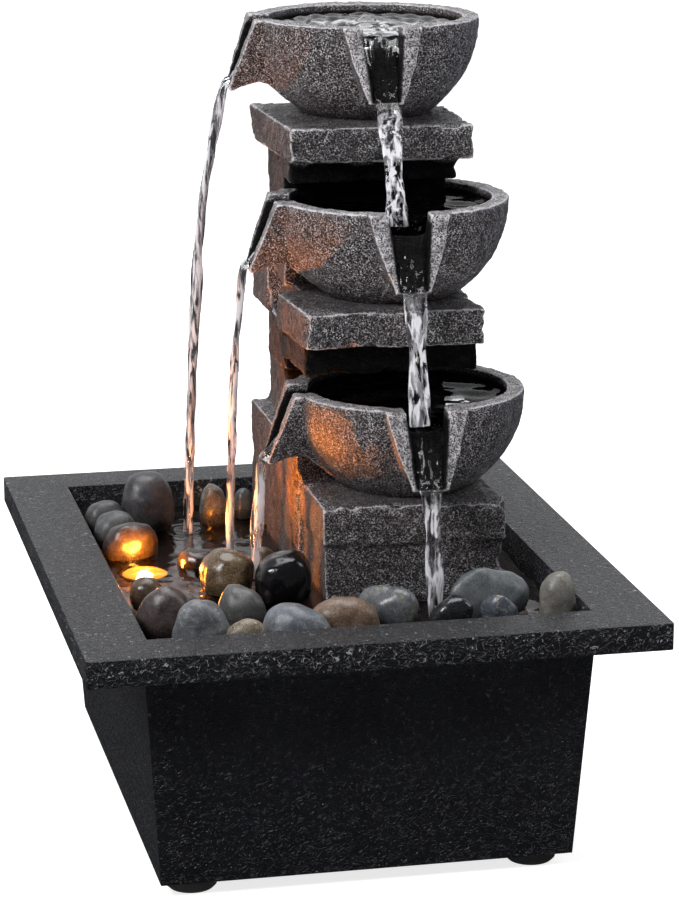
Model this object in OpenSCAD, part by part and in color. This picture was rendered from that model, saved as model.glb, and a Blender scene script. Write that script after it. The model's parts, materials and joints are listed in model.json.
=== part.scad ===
// Tabletop water fountain: square-section basin, free-standing stone-effect
// tower carrying three pouring bowls, pebble deck, submersible pump and
// underwater lamp.  Millimetres, +Z up, resting on its four feet at Z = 0.
// Front is -Y, the object's left is -X.

/* [Basin] */
// Overall width of the basin rim
rim_width = 201.8; // [160:1:260]
// Overall depth of the basin rim, front to back
rim_depth = 244; // [180:1:300]
// Height of the top of the rim above the table
rim_height = 95.5; // [70:0.5:130]
// Height of the skirt that hangs from the edge of the rim
skirt_height = 9.5; // [6:0.5:16]
// Wall of the skirt and thickness of the rim
rim_wall = 2.8; // [2:0.1:4]
// Corner radius of the rim in plan
rim_corner = 1.2; // [0.8:0.1:12]
// Width of the opening in the rim
opening_width = 155.2; // [120:0.2:210]
// Depth of the opening in the rim, front to back
opening_depth = 202.6; // [150:0.2:250]
// Wall of the tub below the rim
tub_wall = 1.9; // [1.5:0.1:4]
// Floor of the tub
tub_floor = 2.5; // [2:0.1:5]
// How far each side leans in from the rim down to the bottom
side_taper = 6.1; // [0:0.1:15]

/* [Feet] */
// Diameter of the rubber feet
foot_diameter = 18; // [10:0.5:30]
// Height of the feet
foot_height = 5; // [2:0.5:10]
// Distance of each foot centre from the middle, across
foot_across = 61; // [40:0.5:70]
// Distance of each foot centre from the middle, front to back
foot_along = 85.5; // [60:0.5:95]

/* [Pebble deck] */
// Height of the upper face of the deck
deck_top = 79.5; // [60:0.5:88]
// Thickness of the deck plate
deck_plate = 2.5; // [2:0.1:4]
// Gap between the deck and the tub, each side
deck_gap = 0.5; // [0.3:0.1:2]
// Outside diameter of the deck legs
deck_leg = 12; // [8:0.5:16]

/* [Tower] */
// Middle of the riser and of the upper bowl, across
riser_x = 33; // [10:0.5:45]
// Middle of the riser and of the upper bowl, front to back
riser_y = 59; // [40:0.5:70]
// Top of the lower slab
lower_slab_top = 119.7; // [100:0.1:140]
// Top of the middle slab
middle_slab_top = 186; // [150:0.1:210]
// Top of the upper slab
upper_slab_top = 247.4; // [200:0.1:280]
// Thickness of the slabs
slab_height = 13.3; // [8:0.1:18]
// Thickness of the course under the middle slab
middle_course = 11; // [4:0.1:16]
// Thickness of the course under the upper slab
upper_course = 8; // [4:0.1:16]
// Wall of the hollow casting
tower_wall = 4; // [3:0.5:8]

/* [Bowls] */
// Rim radius of the upper and lower bowls
bowl_radius = 42.6; // [30:0.1:60]
// Rim radius of the middle bowl
middle_bowl_radius = 43.4; // [30:0.1:60]
// Height of a bowl
bowl_height = 36.3; // [25:0.1:60]
// Wall of a bowl at its rim
bowl_wall = 6.3; // [4:0.1:10]
// Floor of a bowl
bowl_floor = 6; // [4:0.1:10]
// Middle of the middle bowl, across
middle_bowl_x = 33.5; // [25:0.5:45]
// Middle of the middle bowl, front to back
middle_bowl_y = 18; // [0:0.5:40]
// Middle of the lower bowl, across
lower_bowl_x = 34.5; // [25:0.5:45]
// Middle of the lower bowl, front to back
lower_bowl_y = -6; // [-20:0.5:20]
// Turn of the pouring chutes about each bowl, seen from above
chute_turn = -4; // [-10:0.5:10]
// Reach of the pouring chutes from the middle of the bowl, as a share of its radius
chute_reach = 1.235; // [1.05:0.005:1.4]
// Width of a chute at the rim
chute_width = 29.7; // [16:0.1:40]
// Width of a chute at its lip
chute_lip_width = 13.5; // [6:0.1:20]
// Width of the channel in a chute at the rim
channel_width = 14.6; // [8:0.1:30]
// Width of the channel in a chute at its lip
channel_lip_width = 8; // [4:0.1:16]

/* [Pump] */
// Radius of the impeller shaft
shaft_radius = 1.5; // [1:0.1:3]
// Running gap between the impeller and its shaft
running_gap = 0.05; // [0.02:0.01:0.1]
// Height of the impeller axis
impeller_z = 28; // [20:0.5:40]
// Radius of the impeller
impeller_radius = 12.3; // [8:0.1:16]
// Radius of the outlet nozzle
nozzle_radius = 5; // [3:0.1:8]

/* [Lamp] */
// Middle of the underwater lamp, across
lamp_x = -60.5; // [-64:0.5:-30]
// Middle of the underwater lamp, front to back
lamp_y = 15; // [-60:0.5:60]
// Radius of the lead from the lamp to the pump
lead_radius = 1.5; // [1:0.1:3]

/* [Hidden] */
$fn = 96;
tub_height = rim_height - foot_height;
lean = side_taper / tub_height;
tub_width = opening_width + 2 * tub_wall;
tub_depth = opening_depth + 2 * tub_wall;
floor_top = foot_height + tub_floor;
deck_under = deck_top - deck_plate;
gland_z = 88.2;
gland_radius = 3.2;
tower_left = -4.7;
tower_back = 90;
column_right = 60;
column_back = 88;
upper_column_front = 40;
middle_column_front = 37.5;
pump_half = 19;
pump_low = 12;
pump_high = 46;
chamber_front = riser_y - 5;
chamber_back = riser_y + 5;
pump_back = 92;
cover_front = chamber_front - 16;
cover_gap = 0.35;

// ---------------------------------------------------------------- helpers

module block(x0, x1, y0, y1, z0, z1) {
    translate([x0, y0, z0]) cube([x1 - x0, y1 - y0, z1 - z0]);
}

module rounded_plan(w, d, r) {
    union() {
        square([w - 2 * r, d], center = true);
        square([w, d - 2 * r], center = true);
        for (sx = [-1, 1], sy = [-1, 1])
            translate([sx * (w / 2 - r), sy * (d / 2 - r)]) circle(r = r);
    }
}

// A box w by d at its top, leaning in by inset on each side at its bottom
module leaning_box(w, d, h, inset) {
    intersection() {
        rotate([90, 0, 0]) linear_extrude(height = d + 2, center = true)
            polygon([[-w / 2 + inset, 0], [w / 2 - inset, 0], [w / 2, h], [-w / 2, h]]);
        rotate([90, 0, 90]) linear_extrude(height = w + 2, center = true)
            polygon([[-d / 2 + inset, 0], [d / 2 - inset, 0], [d / 2, h], [-d / 2, h]]);
    }
}

// A cylinder along +Y starting at y0
module rod_y(x, z, y0, y1, r) {
    translate([x, y0, z]) rotate([-90, 0, 0]) cylinder(r = r, h = y1 - y0);
}

// ------------------------------------------------------------------ basin

module basin() {
    color("#1b1b1d")
    difference() {
        union() {
            translate([0, 0, rim_height - rim_wall]) linear_extrude(height = rim_wall)
                rounded_plan(rim_width, rim_depth, rim_corner);
            translate([0, 0, rim_height - skirt_height]) linear_extrude(height = skirt_height)
                difference() {
                    rounded_plan(rim_width, rim_depth, rim_corner);
                    square([rim_width - 2 * rim_wall, rim_depth - 2 * rim_wall], center = true);
                }
            translate([0, 0, foot_height])
                leaning_box(tub_width, tub_depth, tub_height, side_taper);
        }
        translate([0, 0, floor_top])
            leaning_box(opening_width + 2 * lean, opening_depth + 2 * lean,
                tub_height - tub_floor + 1, lean * (tub_height - tub_floor + 1));
        // hole for the cord gland, sealed, close under the rim
        gland_place() translate([0, 0, -4]) cylinder(r = gland_radius, h = 8);
        // way out for a cord under the back of the skirt
        translate([-4, rim_depth / 2 - 6, rim_height - skirt_height - 1]) cube([8, 10, 6]);
    }
    // two saddles on the floor that hold the lamp lead
    color("#1b1b1d") {
        translate([lamp_x, 50, floor_top - 0.5]) cylinder(r = 3, h = 14.5 - lead_radius - floor_top + 0.5);
        translate([-20, 74, floor_top - 0.5]) cylinder(r = 3, h = 14.5 - lead_radius - floor_top + 0.5);
    }
}

// Frame of the gland: the middle of the leaning back wall, +Z outwards
module gland_place() {
    translate([0, opening_depth / 2 + tub_wall / 2 - lean * (rim_height - gland_z), gland_z])
        rotate([-90 - atan(lean), 0, 0]) children();
}

module cord_gland() {
    half = tub_wall * cos(atan(lean)) / 2;
    color("#0e0e0f")
    gland_place() rotate_extrude()
        polygon([[2, -half - 1.4], [4, -half - 1.4], [4.4, -half - 1], [4.4, -half],
            [gland_radius, -half], [gland_radius, half], [4.4, half],
            [4.4, half + 1], [4, half + 1.4], [2, half + 1.4]]);
}

module foot(sx, sy) {
    r = foot_diameter / 2;
    color("#0d0d0e")
    translate([sx * foot_across, sy * foot_along, 0]) rotate_extrude()
        polygon([[0, 0.8], [3.4, 0.8], [3.8, 0], [r - 1.2, 0], [r, 1.2],
            [r, foot_height - 0.6], [r - 0.6, foot_height], [0, foot_height]]);
}

module foot_front_left() { foot(-1, -1); }
module foot_front_right() { foot(1, -1); }
module foot_back_left() { foot(-1, 1); }
module foot_back_right() { foot(1, 1); }

// ------------------------------------------------------------ pebble deck

module rock_deck() {
    w = opening_width - 2 * lean * (rim_height - deck_under) - 2 * deck_gap;
    d = opening_depth - 2 * lean * (rim_height - deck_under) - 2 * deck_gap;
    color("#141415") {
        difference() {
            union() {
                translate([0, 0, deck_under]) linear_extrude(height = deck_plate)
                    rounded_plan(w, d, 2);
                for (x = [-60, 60], y = [-80, 0, 84])
                    translate([x, y, floor_top]) cylinder(d = deck_leg, h = deck_under - floor_top + 0.5);
                // low wall that keeps the tower in its place
                difference() {
                    block(2.5, 55.5, -33.5, 84.5, deck_top - 0.5, deck_top + 3);
                    block(4.5, 53.5, -31.5, 82.5, deck_top - 1, deck_top + 4);
                }
            }
            for (x = [-60, 60], y = [-80, 0, 84])
                translate([x, y, floor_top - 1]) cylinder(d = deck_leg - 4, h = deck_under - floor_top + 1);
            // way through for the riser
            translate([riser_x, riser_y, deck_under - 1]) cylinder(r = 12, h = deck_plate + 2);
            // seat of the lamp
            translate([lamp_x, lamp_y, deck_under - 1]) cylinder(r = 8, h = deck_plate + 2);
            // drain slots in front of and beside the tower
            for (x = [-45 : 15 : 60], y = [-62])
                block(x - 1.5, x + 1.5, y - 9, y + 9, deck_under - 1, deck_top + 1);
            for (x = [-42, -27, -15], y = [-25, 5, 60])
                block(x - 1.5, x + 1.5, y - 9, y + 9, deck_under - 1, deck_top + 1);
            // drain slots under the tower
            for (x = [14, 30, 46], y = [-18, 16])
                block(x - 1.5, x + 1.5, y - 9, y + 9, deck_under - 1, deck_top + 1);
        }
    }
}

// ----------------------------------------------------------------- bowls

// Outline radius of a bowl of rim radius r at height z above its foot
function bowl_r(r, z, h) = r * (1 - 0.44 * pow(max(0, 1 - z / h), 2.45));

// Everything inside the outer skin of a bowl with its two chutes
module bowl_outer(r) {
    difference() {
        union() {
            rotate_extrude()
                polygon(concat([[0, 0]],
                    [for (i = [0 : 12]) [bowl_r(r, (bowl_height + 1.6) * i / 12, bowl_height), (bowl_height + 1.6) * i / 12]],
                    [[0, bowl_height + 1.6]]));
            for (a = [-90, 180]) rotate([0, 0, a + chute_turn]) chute_outer(r);
        }
        translate([-2 * r, -2 * r, bowl_height]) cube([4 * r, 4 * r, 10]);
    }
}

// One pouring chute, pointing along +X, a little taller than the bowl and trimmed with it
module chute_outer(r) {
    tip = chute_reach * r;
    low = bowl_height - 26;
    mouth = r + 0.8;
    lean = (tip - mouth) / 26;
    flare = (chute_width / 2 - chute_width * 0.38) / 14;
    intersection() {
        rotate([90, 0, 0]) linear_extrude(height = chute_width + 6, center = true)
            polygon([[0.52 * r, 5.3], [0.52 * r, bowl_height + 2.5], [mouth - 2.5 * lean, bowl_height + 2.5], [tip, low],
                [tip - 1.2, low - 1.2], [1.1 * r, low + 0.9], [0.96 * r, low + 2.2],
                [0.88 * r, low + 1.2], [0.8 * r, low - 1.8], [0.68 * r, 4.4]]);
        rotate([90, 0, 90]) linear_extrude(height = tip + 4)
            polygon([[-chute_lip_width / 2, 0], [chute_lip_width / 2, 0], [chute_lip_width / 2, low + 0.4],
                [chute_width * 0.38, low + 12], [chute_width / 2 + 2.5 * flare, bowl_height + 2.5],
                [-chute_width / 2 - 2.5 * flare, bowl_height + 2.5], [-chute_width * 0.38, low + 12],
                [-chute_lip_width / 2, low + 0.4]]);
    }
}

// The sloping channel of a chute, pointing along +X
module chute_channel(r) {
    tip = chute_reach * r;
    low = bowl_height - 26;
    flare = (channel_width - channel_lip_width) / 2 / 26;
    intersection() {
        rotate([90, 0, 0]) linear_extrude(height = channel_width + 6, center = true)
            polygon([[0.3 * r, bowl_height + 2], [0.7 * r, bowl_height - 8], [0.84 * r, bowl_height - 8.6],
                [0.94 * r, bowl_height - 12], [1.06 * r, low + 8], [tip - 2.4, low + 1.4], [tip + 2, low - 3],
                [tip + 6, bowl_height + 2]]);
        rotate([90, 0, 90]) linear_extrude(height = tip + 8)
            polygon([[-channel_lip_width / 2 + 0.4, 0], [channel_lip_width / 2 - 0.4, 0],
                [channel_width / 2 + 3 * flare, bowl_height + 3], [-channel_width / 2 - 3 * flare, bowl_height + 3]]);
    }
}

module bowl_shell(r) {
    ri = r - bowl_wall;
    inner = bowl_height - bowl_floor;
    difference() {
        bowl_outer(r);
        translate([0, 0, bowl_floor]) rotate_extrude()
            polygon(concat([[0, 0], [bowl_r(ri, 0, inner) - 5, 0]],
                [for (i = [0 : 12]) [bowl_r(ri, (inner + 1.3) * i / 12, inner), (i == 0 ? 1.4 : (inner + 1.3) * i / 12)]],
                [[0, inner + 1.3]]));
        for (a = [-90, 180]) rotate([0, 0, a + chute_turn]) chute_channel(r);
    }
}

module bowl_upper() {
    color("#3a3433")
    translate([riser_x, riser_y, upper_slab_top]) difference() {
        bowl_shell(bowl_radius);
        translate([0, 0, -1]) cylinder(r = 6, h = bowl_floor + 2);
    }
}

module bowl_middle() {
    color("#3a3433")
    difference() {
        translate([middle_bowl_x, middle_bowl_y, middle_slab_top]) bowl_shell(middle_bowl_radius);
        upper_column(middle_slab_top - 1);
    }
}

module bowl_lower() {
    color("#3a3433")
    translate([lower_bowl_x, lower_bowl_y, lower_slab_top]) bowl_shell(bowl_radius);
}

// ----------------------------------------------------------------- tower

// Part of the column from its front plane to its back; its left face stands
// a little askew
module column(front, z0, z1) {
    left = 0.9 - 0.067 * (column_back - front);
    translate([0, 0, z0]) linear_extrude(height = z1 - z0)
        polygon([[left, front], [column_right, front], [column_right, column_back], [0.9, column_back]]);
}

// A flat course with the given plan
module slab(plan, z0, z1) {
    translate([0, 0, z0]) linear_extrude(height = z1 - z0) polygon(plan);
}

module upper_column(z0) {
    column(upper_column_front, z0, upper_slab_top - slab_height + 1);
}

module pillar() {
    color("#3f3836")
    difference() {
        union() {
            // plinth and lower slab
            slab([[-3, -36.8], [61.8, -40.6], [61.8, tower_back], [-3, tower_back]],
                deck_top, lower_slab_top - slab_height);
            slab([[-3.9, -38], [62.7, -42], [62.7, tower_back], [tower_left, tower_back]],
                lower_slab_top - slab_height - 1, lower_slab_top);
            // thick block behind the lower bowl, recessed round it
            difference() {
                block(-6, 61, 0, tower_back, deck_top, lower_slab_top + 10.7);
                translate([lower_bowl_x, lower_bowl_y, lower_slab_top]) bowl_outer(bowl_radius);
            }
            column(middle_column_front, lower_slab_top - 1, middle_slab_top - slab_height);
            // middle slab and the course under it
            slab([[-4.4, -9.6], [59, -13], [59.6, column_back], [0.9, column_back], [0.9, 28], [-6.4, 26]],
                middle_slab_top - slab_height - middle_course, middle_slab_top - slab_height + 1);
            slab([[-5.4, -16.6], [60, -19.7], [60.6, column_back], [0.9, column_back], [0.9, 28.5], [-8.3, 26.5]],
                middle_slab_top - slab_height, middle_slab_top);
            upper_column(middle_slab_top - 1);
            // block at the back of the middle bowl
            block(-5.3, 60.2, 58, column_back + 1, middle_slab_top - slab_height - 1, middle_slab_top + 11);
            // upper slab and the course under it
            column(24, upper_slab_top - slab_height - upper_course, upper_slab_top - slab_height + 1);
            slab([[-4, 19], [65.1, 17.6], [65.9, tower_back], [-5.9, tower_back]],
                upper_slab_top - slab_height, upper_slab_top);
        }
        // hollow inside of the casting
        block(1.5, 56.5, -34.5, 85.5, deck_top - 1, lower_slab_top - 7);
        block(1 + tower_wall, column_right - tower_wall, middle_column_front + tower_wall,
            column_back - tower_wall, deck_top, middle_slab_top - 19);
        block(1 + tower_wall, column_right - tower_wall, upper_column_front + tower_wall,
            column_back - tower_wall, deck_top, upper_slab_top - 8);
        // hole for the spout fitting
        translate([riser_x, riser_y, upper_slab_top - 20]) cylinder(r = 6, h = 30);
        // water notches in the foot of the casting
        for (x = [12, 38]) block(x, x + 10, 80, tower_back + 1, deck_top - 1, deck_top + 7);
        block(-8, 6, 60, 72, deck_top - 1, deck_top + 7);
    }
}

module spout_fitting() {
    color("#202022")
    translate([riser_x, riser_y, 0]) rotate_extrude()
        polygon([[3.6, upper_slab_top - 26], [4.4, upper_slab_top - 26], [5, upper_slab_top - 24],
            [5, upper_slab_top - 14], [6, upper_slab_top - 14], [6, upper_slab_top + bowl_floor + 1.5],
            [10, upper_slab_top + bowl_floor + 1.5], [10, upper_slab_top + bowl_floor + 3],
            [9, upper_slab_top + bowl_floor + 4], [5.2, upper_slab_top + bowl_floor + 5],
            [5.2, upper_slab_top + bowl_floor + 9], [3.6, upper_slab_top + bowl_floor + 9]]);
}

module fitting_washer() {
    color("#0e0e0f")
    translate([riser_x, riser_y, upper_slab_top + bowl_floor]) difference() {
        cylinder(r = 9.4, h = 1.5);
        translate([0, 0, -1]) cylinder(r = 6, h = 4);
    }
}

module fitting_nut() {
    color("#202022")
    translate([riser_x, riser_y, upper_slab_top - 13]) difference() {
        cylinder(r = 10, h = 5, $fn = 6);
        translate([0, 0, -1]) cylinder(r = 6, h = 8);
    }
}

module riser_hose() {
    color("#9aa0a4")
    translate([riser_x, riser_y, 66]) difference() {
        cylinder(r = 7, h = upper_slab_top - 14.5 - 66);
        translate([0, 0, -1]) cylinder(r = 5, h = upper_slab_top - 60);
    }
}

module hose_coupling() {
    color("#18181a")
    translate([riser_x, riser_y, 0]) rotate_extrude()
        polygon([[nozzle_radius + 0.35, 51], [8, 51], [9, 52], [9, 81], [8, 82], [7, 82], [7, 66],
            [nozzle_radius + 0.35, 66]]);
}

// ------------------------------------------------------------------ pump

module pump_body() {
    color("#17181a")
    difference() {
        union() {
            translate([riser_x, chamber_back, 0]) rotate([-90, 0, 0])
                translate([0, -(pump_low + pump_high) / 2, 0])
                linear_extrude(height = pump_back - chamber_back)
                rounded_plan(2 * pump_half + 2, pump_high - pump_low, 4);
            // boss where the lamp lead goes in
            block(riser_x - pump_half - 3, riser_x - pump_half, 70.5, 77.5, pump_low, 18.5);
        }
        // well of the magnet
        rod_y(riser_x, impeller_z, chamber_back - 1, 84, 7);
        // pocket of the shaft
        rod_y(riser_x, impeller_z, 83, 87, shaft_radius);
        // pockets of the suction cups
        for (x = [-15, 15], y = [70, 86])
            translate([riser_x + x, y, pump_low - 1]) cylinder(r = 1.6, h = 4.2);
        // hole of the lead
        translate([riser_x - pump_half - 4, 74, 14.5]) rotate([0, 90, 0])
            cylinder(r = lead_radius, h = 5);
    }
}

module pump_chamber() {
    color("#1d1f21")
    difference() {
        union() {
            translate([riser_x, chamber_front, 0]) rotate([-90, 0, 0])
                translate([0, -(pump_low + pump_high) / 2, 0])
                linear_extrude(height = chamber_back - chamber_front)
                rounded_plan(2 * pump_half, pump_high - pump_low, 3);
            translate([riser_x, riser_y, pump_high - 4]) cylinder(r = nozzle_radius, h = 22);
        }
        // volute
        rod_y(riser_x, impeller_z, chamber_front + 2, chamber_back + 1, impeller_radius + 1.1);
        // eye of the pump, crossed by a three-armed spider
        difference() {
            rod_y(riser_x, impeller_z, chamber_front - 1, chamber_front + 3, 8);
            rod_y(riser_x, impeller_z, chamber_front - 2, chamber_front + 4, 3);
            for (a = [90, 210, 330])
                translate([riser_x, 0, impeller_z]) rotate([0, a, 0])
                    block(0, 9, chamber_front - 2, chamber_front + 4, -1, 1);
        }
        rod_y(riser_x, impeller_z, chamber_front + 0.5, chamber_front + 3, shaft_radius);
        // outlet duct
        translate([riser_x, riser_y + 0.5, impeller_z]) cylinder(r = 3, h = 14);
        translate([riser_x, riser_y, pump_high - 6]) cylinder(r = 3.6, h = 30);
    }
}

module impeller_shaft() {
    color("#ece9e2")
    rod_y(riser_x, impeller_z, chamber_front + 0.5, 87, shaft_radius);
}

module impeller() {
    color("#2c3034")
    difference() {
        union() {
            // magnet
            rod_y(riser_x, impeller_z, chamber_back - 1, 81.5, 6.5);
            // hub, back plate and blades
            rod_y(riser_x, impeller_z, chamber_back - 6.6, chamber_back, 3.6);
            rod_y(riser_x, impeller_z, chamber_back - 2, chamber_back - 0.6, impeller_radius - 0.3);
            for (a = [0 : 60 : 300])
                translate([riser_x, 0, impeller_z]) rotate([0, a, 0])
                    block(2.5, impeller_radius - 0.2, chamber_back - 6.6, chamber_back - 1, -0.6, 0.6);
        }
        rod_y(riser_x, impeller_z, chamber_front, 84, shaft_radius + running_gap);
    }
}

module pump_cover() {
    y1 = chamber_front - cover_gap;
    color("#1d1f21")
    difference() {
        translate([riser_x, cover_front, 0]) rotate([-90, 0, 0])
            translate([0, -(pump_low + pump_high) / 2, 0])
            linear_extrude(height = y1 - cover_front)
            rounded_plan(2 * pump_half, pump_high - pump_low, 3);
        block(riser_x - pump_half + 2, riser_x + pump_half - 2, cover_front + 2, y1 + 1,
            pump_low + 2, pump_high - 2);
        // intake grille, low on the front and down both sides
        for (x = [-13.5 : 4.5 : 13.5])
            block(riser_x + x - 1, riser_x + x + 1, cover_front - 1, cover_front + 3, 15, 19);
        for (z = [17 : 5 : 42])
            block(riser_x - pump_half - 1, riser_x + pump_half + 1, cover_front + 5, cover_front + 13,
                z - 1, z + 1);
        // window behind the flow dial and the bearing of its stem
        for (a = [20, 60]) translate([riser_x, 0, 31]) rotate([0, -a, 0])
            block(4.5, 7.5, cover_front - 1, cover_front + 3, -1.2, 1.2);
        rod_y(riser_x, 31, cover_front - 1, cover_front + 3, 2.5 + running_gap);
    }
}

module flow_dial() {
    color("#2b2e31")
    difference() {
        union() {
            rod_y(riser_x, 31, cover_front - 2.8, cover_front - 0.4, 9);
            rod_y(riser_x, 31, cover_front - 1, cover_front + 4, 2.5);
            // grip
            block(riser_x - 1.2, riser_x + 1.2, cover_front - 5.4, cover_front - 2, 24.5, 37.5);
        }
        for (a = [20, 60]) translate([riser_x, 0, 31]) rotate([0, -a, 0])
            block(4.5, 7.5, cover_front - 4, cover_front + 1, -1.2, 1.2);
    }
}

module suction_cup(x, y) {
    color("#2a2a2c")
    translate([riser_x + x, y, 0]) rotate_extrude()
        polygon([[0, pump_low + 3], [1.6, pump_low + 3], [1.6, pump_low], [3.4, pump_low],
            [3, pump_low - 1.6], [5.6, floor_top], [4.6, floor_top], [1.5, pump_low - 2.6],
            [0, pump_low - 2.6]]);
}

module suction_cup_1() { suction_cup(-15, 70); }
module suction_cup_2() { suction_cup(15, 70); }
module suction_cup_3() { suction_cup(-15, 86); }
module suction_cup_4() { suction_cup(15, 86); }

// ------------------------------------------------------------------ lamp

module led_housing() {
    color("#17181a")
    translate([lamp_x, lamp_y, 0]) rotate_extrude()
        polygon([[lead_radius, 60], [5, 60], [7.6, 63], [7.6, deck_top], [10, deck_top],
            [10, deck_top + 1.2], [9.6, deck_top + 1.6], [8.8, deck_top + 1.6],
            [8.8, deck_top + 0.4], [6.2, deck_top + 0.4], [6.2, 66], [lead_radius, 66]]);
}

module led_seal() {
    color("#0e0e0f")
    translate([lamp_x, lamp_y, deck_top + 0.4]) difference() {
        cylinder(r = 8.6, h = 0.8);
        translate([0, 0, -1]) cylinder(r = 6.4, h = 3);
    }
}

module led_lens() {
    color("#ffd9a0")
    translate([lamp_x, lamp_y, deck_top + 1.2]) difference() {
        intersection() {
            translate([0, 0, -5]) sphere(r = 10);
            cylinder(r = 8.4, h = 10);
        }
        intersection() {
            translate([0, 0, -5]) sphere(r = 8.6);
            translate([0, 0, -1]) cylinder(r = 8.4, h = 10);
        }
    }
}

module led_board() {
    color("#2f6b3c")
    translate([lamp_x, lamp_y, 74]) cylinder(r = 6, h = 1.6);
    color("#2f6b3c")
    translate([lamp_x, lamp_y, 66]) difference() {
        cylinder(r = 3, h = 8.4);
        translate([0, 0, -1]) cylinder(r = 2, h = 8);
    }
}

module led_emitter() {
    color("#ffb54a")
    translate([lamp_x, lamp_y, 75.6]) {
        cylinder(r = 2.9, h = 1);
        translate([0, 0, 0.5]) cylinder(r = 2.5, h = 3);
        translate([0, 0, 3.5]) sphere(r = 2.5);
    }
}

module led_lead() {
    bend = 8;
    z = 14.5;
    color("#0e0e0f") {
        translate([lamp_x, lamp_y, z + bend]) cylinder(r = lead_radius, h = 65 - z - bend);
        // down to level, turning towards the back
        translate([lamp_x, lamp_y + bend, z + bend]) rotate([90, 0, 90]) rotate([0, 0, 180])
            rotate_extrude(angle = 90) translate([bend, 0]) circle(r = lead_radius);
        rod_y(lamp_x, z, lamp_y + bend, 74 - bend, lead_radius);
        // level bend towards the pump
        translate([lamp_x + bend, 74 - bend, z]) rotate([0, 0, 90])
            rotate_extrude(angle = 90) translate([bend, 0]) circle(r = lead_radius);
        translate([lamp_x + bend, 74, z]) rotate([0, 90, 0])
            cylinder(r = lead_radius, h = riser_x - pump_half - lamp_x - bend);
    }
}

// --------------------------------------------------------------- pebbles

// A river pebble lying on the deck: middle x and y, its three sizes, its turn
module pebble(at, size, turn, tint) {
    color(tint)
    translate([at[0], at[1], deck_top + size[2] / 2 + 0.03]) rotate([0, 0, turn])
        scale([size[0] / 2, size[1] / 2, size[2] / 2]) sphere(r = 1);
}

module pebble_01() { pebble([-49.6, 72.5], [21.6, 18.8, 27.6], -12, "#55535a"); }
module pebble_02() { pebble([-68.6, 65.5], [16.6, 12, 20], -12, "#4a4b50"); }
module pebble_03() { pebble([-66.6, 50.2], [17.4, 13.6, 19.6], -12, "#55575c"); }
module pebble_04() { pebble([-62.4, 34.6], [22, 14.6, 19.6], 8, "#4b4443"); }
module pebble_05() { pebble([-23.5, 76], [11.4, 11.4, 21.8], -12, "#8b8272"); }
module pebble_06() { pebble([-11.3, 80], [8.4, 8.6, 17.4], -12, "#55606a"); }
module pebble_07() { pebble([-39.5, 17.6], [16.8, 13.6, 12.2], -2, "#332f2f"); }
module pebble_08() { pebble([-36, -16], [22, 17.6, 20.6], -22, "#7a5f45"); }
module pebble_09() { pebble([-16.6, 7.4], [11.4, 9.2, 14.6], -12, "#857c6a"); }
module pebble_10() { pebble([-16.9, -30], [20.2, 16.4, 22.8], 8, "#101114"); }
module pebble_11() { pebble([-65.9, -62], [19, 15.2, 22.4], -37, "#5c4f4c"); }
module pebble_12() { pebble([-57, -84], [19.4, 14.4, 23.6], 8, "#6b7076"); }
module pebble_13() { pebble([-36.8, -58], [19.2, 15.4, 20], -27, "#63666a"); }
module pebble_14() { pebble([-42.1, -93.4], [14.4, 8.6, 17.2], -12, "#8d8067"); }
module pebble_15() { pebble([-22.9, -89.2], [23.4, 16, 20.6], -22, "#6d737d"); }
module pebble_16() { pebble([-5.7, -80], [22.2, 13.2, 18.8], -7, "#7b6553"); }
module pebble_17() { pebble([12.3, -70], [25.4, 11.6, 21], -40, "#7e848c"); }
module pebble_18() { pebble([51.6, -62.2], [30.4, 12.8, 20.6], 14, "#7c838a"); }
module pebble_19() { pebble([69.7, -84], [14.6, 12.8, 26], -12, "#86827a"); }
module pebble_20() { pebble([33.6, -81], [16, 10.4, 17.2], -12, "#202225"); }
module pebble_21() { pebble([49.4, -84], [13.6, 8.8, 18.2], -32, "#5f6670"); }
module pebble_22() { pebble([-65.8, -33], [13.6, 10.4, 16.4], -8, "#5d4a3c"); }

// -------------------------------------------------------------- assembly

basin();
foot_front_left();
foot_front_right();
foot_back_left();
foot_back_right();
cord_gland();
rock_deck();
pillar();
bowl_upper();
bowl_middle();
bowl_lower();
spout_fitting();
fitting_washer();
fitting_nut();
riser_hose();
hose_coupling();
pump_body();
pump_chamber();
impeller_shaft();
impeller();
pump_cover();
flow_dial();
suction_cup_1();
suction_cup_2();
suction_cup_3();
suction_cup_4();
led_housing();
led_lens();
led_seal();
led_board();
led_emitter();
led_lead();
pebble_01();
pebble_02();
pebble_03();
pebble_04();
pebble_05();
pebble_06();
pebble_07();
pebble_08();
pebble_09();
pebble_10();
pebble_11();
pebble_12();
pebble_13();
pebble_14();
pebble_15();
pebble_16();
pebble_17();
pebble_18();
pebble_19();
pebble_20();
pebble_21();
pebble_22();
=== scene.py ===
import json
import math

import bmesh
import bpy
import numpy as np
from mathutils import Matrix, Vector


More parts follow.
